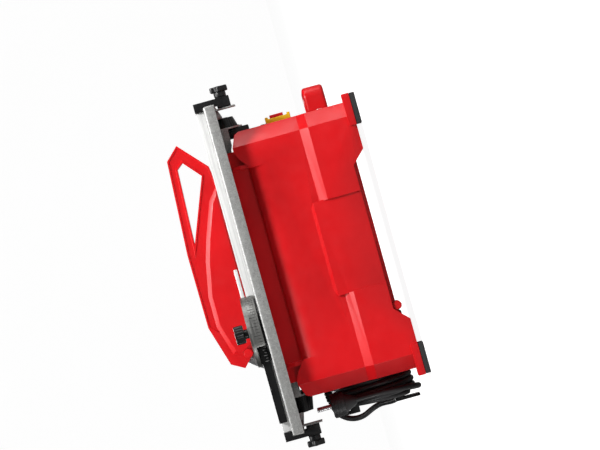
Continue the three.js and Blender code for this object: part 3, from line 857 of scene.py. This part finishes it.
class TILESAW_OT_guard(PieceOperator, bpy.types.Operator):
    """Finish the blade guard with its moulded relief lines and pivot bolt"""

    bl_idname = "tilesaw.guard"
    bl_label = "Blade guard"

    large_face = 2e-3
    channel = (
        (121, 198), (100, 214.5), (52, 232), (25, 240), (-21, 249),
        (-62, 249), (-102, 237), (-108, 224), (-92, 198),
    )

    def build(self):
        hood = copy_of("guard_hood")
        for side in (-1, 1):

            def broad(face):
                return face.normal.y * side > 0.95 and face.calc_area() > self.large_face

            select_in_mesh(hood, faces=broad)
            bpy.ops.mesh.quads_convert_to_tris()
            bpy.ops.mesh.inset(thickness=2.2 * MM, depth=0)
            bpy.ops.mesh.inset(thickness=0.6 * MM, depth=-0.9 * MM)
            done(hood)
        dress_copy(soften(hood, 0.8 * MM, 3, 30), "guard_hood")
        self.bulge()
        finish_nodes({"guard_bolt": 0.8}, 3)

    def bulge(self):
        """The blade channel stands proud of the thin grip on both faces."""
        low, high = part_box("guard_hood")
        halves = []
        for side, face in ((-1, low.y), (1, high.y)):
            points = [(x * MM, face - side * 0.3 * MM, z * MM) for x, z in self.channel]
            half = flat_plate("bulge", points, (0, side * 0.6 * MM, 0))
            select_in_mesh(half, faces=lambda f, s=side: f.normal.y * s > 0.9)
            bpy.ops.mesh.inset(thickness=5.5 * MM, depth=3.2 * MM)
            done(half)
            halves.append(soften(half, 0.8 * MM, 3, 12))
        dress(merged("guard_bulge", halves), "guard", "red_plastic")


class TILESAW_OT_cord(PieceOperator, bpy.types.Operator):
    """Wind the supply cord on its hooks and finish its strain relief and plug"""

    bl_idname = "tilesaw.cord"
    bl_label = "Supply cord"

    lead = [
        (-196.6, 48, 131),
        (-204.5, 48, 130.2),
        (-212, 47.8, 127.2),
        (-218.6, 47, 122),
        (-223.6, 45.7, 115),
        (-226.3, 43.8, 107),
        (-226.6, 41.2, 98.5),
        (-224.3, 38, 90),
        (-220, 34.4, 83),
    ]
    coil_at = (-20, 73)
    lead_radius = 51
    lead_angle = 6.7
    layers = (42.3, 49.8)
    across = (-206.0, -176.3)
    steps_per_turn = 36

    def build(self):
        finish_nodes({"cord_hook_upper": 1.2, "cord_hook_lower": 1.2})
        route = self.route()
        plug = self.plug()
        relief = self.relief()
        for node in ("plug_pin_left", "plug_pin_right"):
            dress_copy(soften(copy_of(node), 1.0 * MM, 3), node)
        cord = self.curve(route)

    def route(self):
        """The lead, an open inner layer, a close outer layer back, and the run up to the plug."""
        y0, z0 = self.coil_at
        inner, outer = self.layers
        near, away = self.across
        low, _, middle = (corner / MM for corner in extent("plug_body"))
        plug_radius = y0 - middle.y
        inner_turns = sizes().inner_turns
        total = inner_turns + sizes().outer_turns
        points = [Vector(p) for p in self.lead]
        count = int(total * self.steps_per_turn)
        for step in range(1, count + 1):
            turn = total * step / count
            angle = radians(self.lead_angle - 360 * turn)
            if turn < inner_turns:
                radius = self.lead_radius + (inner - self.lead_radius) * eased(turn * 9)
                radius += (outer - inner) * eased(1 - (inner_turns - turn) * 7)
                x = near - 9 * (1 - eased((turn - 0.1) * 9))
                x += (away - near) * max(0, turn - 0.2) / (inner_turns - 0.2)
            else:
                left = total - turn
                x = away + (near - away) * (turn - inner_turns) / (total - inner_turns)
                radius = outer + 0.7 * (1 + sin(0.37 * angle))
                radius += (plug_radius - outer - 0.7) * eased((0.62 - left) / 0.5)
                x += (middle.x - x) * eased((0.38 - left) / 0.38)
            points.append(Vector((x, y0 + radius * cos(angle), z0 + radius * sin(angle))))
        last = points[-1]
        foot = Vector((middle.x, middle.y, low.z))
        points += [last.lerp(foot, share) for share in (0.25, 0.5, 0.75, 1)]
        return [p * MM for p in points]

    def curve(self, route):
        data = bpy.data.curves.new("supply_cord", "CURVE")
        data.dimensions = "3D"
        data.bevel_depth = sizes().cord / 2
        data.bevel_resolution = 4
        data.use_fill_caps = True
        spline = data.splines.new("NURBS")
        spline.points.add(len(route) - 1)
        for point, place in zip(spline.points, route):
            point.co = (*place, 1)
        spline.order_u = 4
        spline.use_endpoint_u = True
        spline.resolution_u = 2
        cord = bpy.data.objects.new("supply_cord", data)
        bpy.context.scene.collection.objects.link(cord)
        data.materials.append(material_for("cord_rubber"))
        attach(cord, "root")
        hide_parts("cord_lead", "cord_coil")
        return cord

    def relief(self):
        low, high, middle = extent("cord_strain_relief")
        at = (middle.y, middle.z)
        rings = []
        for index in range(5):
            start = low.x + index * 4.4 * MM
            radius = (4.6 + index * 0.45) * MM
            ring = cylinder("ring", "x", (start, start + 3.1 * MM), at, radius, 32, radius + 0.3 * MM)
            rings.append(soften(ring, 0.7 * MM, 3, 40))
        core = cylinder("core", "x", (low.x, high.x), at, 4.3 * MM, 32, 5.6 * MM)
        collar = cylinder("collar", "x", (high.x - 3.5 * MM, high.x), at, 7 * MM, 32)
        rings += [core, soften(collar, 0.6 * MM)]
        return dress_copy(merged("cord_strain_relief_finished", rings), "cord_strain_relief")

    def plug(self):
        plug = soften(copy_of("plug_body"), 1.8 * MM, 3)
        low, _, middle = extent("plug_body")
        grips = []
        for index in range(3):
            z = low.z + (19 + index * 4) * MM
            grip = cylinder("grip", "z", (z, z + 1.6 * MM), (middle.x, middle.y), 15.6 * MM, 48)
            grips.append(soften(grip, 0.5 * MM))
        dress(merged("plug_grip_rings", grips), "root", "cord_rubber")
        return dress_copy(plug, "plug_body")


class TILESAW_OT_stage(PieceOperator, bpy.types.Operator):
    """Add the floor, the lights and the camera"""

    bl_idname = "tilesaw.stage"
    bl_label = "Stage"

    aim = (38.5, 107.7)
    floor_size = 14
    wall_height = 7
    # Each light's place in metres, its power in watts and its width in metres
    lamps = {
        "key_light": ((1.0, -1.6, 2.0), 70, 0.5),
        "top_light": ((0.1, -0.45, 2.1), 34, 1.1),
        "end_light": ((2.0, -0.4, 0.2), 17, 1.0),
        "rim_light": ((-1.8, -1.0, 0.15), 6, 0.25),
        "fill_light": ((-0.4, -3.2, 0.3), 2, 2.0),
        "back_light": ((-0.6, 2.6, 1.5), 45, 1.4),
    }

    def build(self):
        self.floor()
        self.lights()
        self.camera()

    def floor(self):
        bpy.ops.mesh.primitive_plane_add(size=self.floor_size)
        floor = bpy.context.object
        floor.name = "studio_floor"
        floor.location.z = -0.2 * MM
        place_in_mesh(floor)
        select_in_mesh(floor, edges=lambda e: all(v.co.y > 0 for v in e.verts))
        bpy.ops.mesh.extrude_region_move(TRANSFORM_OT_translate={"value": (0, 0, self.wall_height)})
        done(floor)
        floor.data.materials.append(self.backdrop())

    def backdrop(self):
        """Pale grey paper that shows nearly white, and lights the saw less than it shows."""
        pale = (0.32, 0.32, 0.32)
        material, nodes, links, shader, place = new_material("pale backdrop", pale, 0.9)
        shader.inputs["Emission Color"].default_value = (1, 1, 1, 1)
        seen = nodes.new("ShaderNodeLightPath").outputs["Is Camera Ray"]
        links.new(spread(nodes, links, seen, 0.02, 0.93, 0, 1), shader.inputs["Emission Strength"])
        dust = noise(nodes, links, place, 3)
        stops = [(0.3, shade_of(pale, 0.97)), (0.7, shade_of(pale, 1.03))]
        links.new(ramp(nodes, links, dust, stops), shader.inputs["Base Color"])
        return material

    def lights(self):
        bpy.context.scene.view_settings.view_transform = "Standard"
        world = bpy.context.scene.world or bpy.data.worlds.new("studio")
        bpy.context.scene.world = world
        world.use_nodes = True
        nodes, links = world.node_tree.nodes, world.node_tree.links
        background = nodes["Background"]
        background.inputs["Color"].default_value = (1, 1, 1, 1)
        seen = nodes.new("ShaderNodeLightPath").outputs["Is Camera Ray"]
        links.new(spread(nodes, links, seen, 0.07, 1.0, 0, 1), background.inputs["Strength"])
        target = Vector((0, 0, 0.1))
        for name, (place, power, size) in self.lamps.items():
            data = bpy.data.lights.new(name, "AREA")
            data.energy = power
            data.size = size
            light = bpy.data.objects.new(name, data)
            bpy.context.scene.collection.objects.link(light)
            light.location = place
            light.rotation_euler = (target - Vector(place)).to_track_quat("-Z", "Y").to_euler()

    def camera(self):
        settings = bpy.context.scene.tile_saw_stage
        near_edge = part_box("table_top")[0].y
        aim_x, aim_z = self.aim
        data = bpy.data.cameras.new("camera")
        data.sensor_width = 36
        data.lens = data.sensor_width * settings.distance / settings.field
        data.clip_end = 50
        camera = bpy.data.objects.new("camera", data)
        bpy.context.scene.collection.objects.link(camera)
        lean = settings.roll
        up = Vector((cos(lean), 0, -sin(lean)))
        back = Vector((0, -1, 0))
        right = up.cross(back)
        turned = Matrix((right, up, back)).transposed().to_4x4()
        place = Vector((aim_x * MM, near_edge - settings.distance, aim_z * MM))
        camera.matrix_world = Matrix.Translation(place) @ turned
        bpy.context.scene.camera = camera


OPERATORS = (
    TILESAW_OT_stage,
    TILESAW_OT_cord,
    TILESAW_OT_housing,
    TILESAW_OT_base,
    TILESAW_OT_switch,
    TILESAW_OT_drive,
    TILESAW_OT_blade,
    TILESAW_OT_table,
    TILESAW_OT_fence,
    TILESAW_OT_angle_stop,
    TILESAW_OT_guard,
)


class TILESAW_PT_panel(bpy.types.Panel):
    """Lists the saw's pieces in the sidebar"""

    bl_idname = "TILESAW_PT_panel"
    bl_label = "Wet Tile Saw"
    bl_space_type = "VIEW_3D"
    bl_region_type = "UI"
    bl_category = "Tile Saw"

    def draw(self, context):
        for group in ("tile_saw_colours", "tile_saw_sizes", "tile_saw_stage"):
            settings = getattr(context.scene, group)
            for name in settings.bl_rna.properties.keys():
                if name not in ("rna_type", "name"):
                    self.layout.prop(settings, name)
        for operator in OPERATORS:
            self.layout.operator(operator.bl_idname)


CLASSES = (TileSawColours, TileSawSizes, TileSawStage, *OPERATORS, TILESAW_PT_panel)


def register():
    for made in CLASSES:
        bpy.utils.register_class(made)
    bpy.types.Scene.tile_saw_colours = PointerProperty(type=TileSawColours)
    bpy.types.Scene.tile_saw_sizes = PointerProperty(type=TileSawSizes)
    bpy.types.Scene.tile_saw_stage = PointerProperty(type=TileSawStage)


def unregister():
    del bpy.types.Scene.tile_saw_colours
    del bpy.types.Scene.tile_saw_sizes
    del bpy.types.Scene.tile_saw_stage
    for made in reversed(CLASSES):
        bpy.utils.unregister_class(made)


def main():
    register()
    for operator in OPERATORS:
        getattr(bpy.ops.tilesaw, operator.bl_idname.split(".")[1])()
    bpy.context.view_layer.update()


if __name__ == "__main__":
    main()
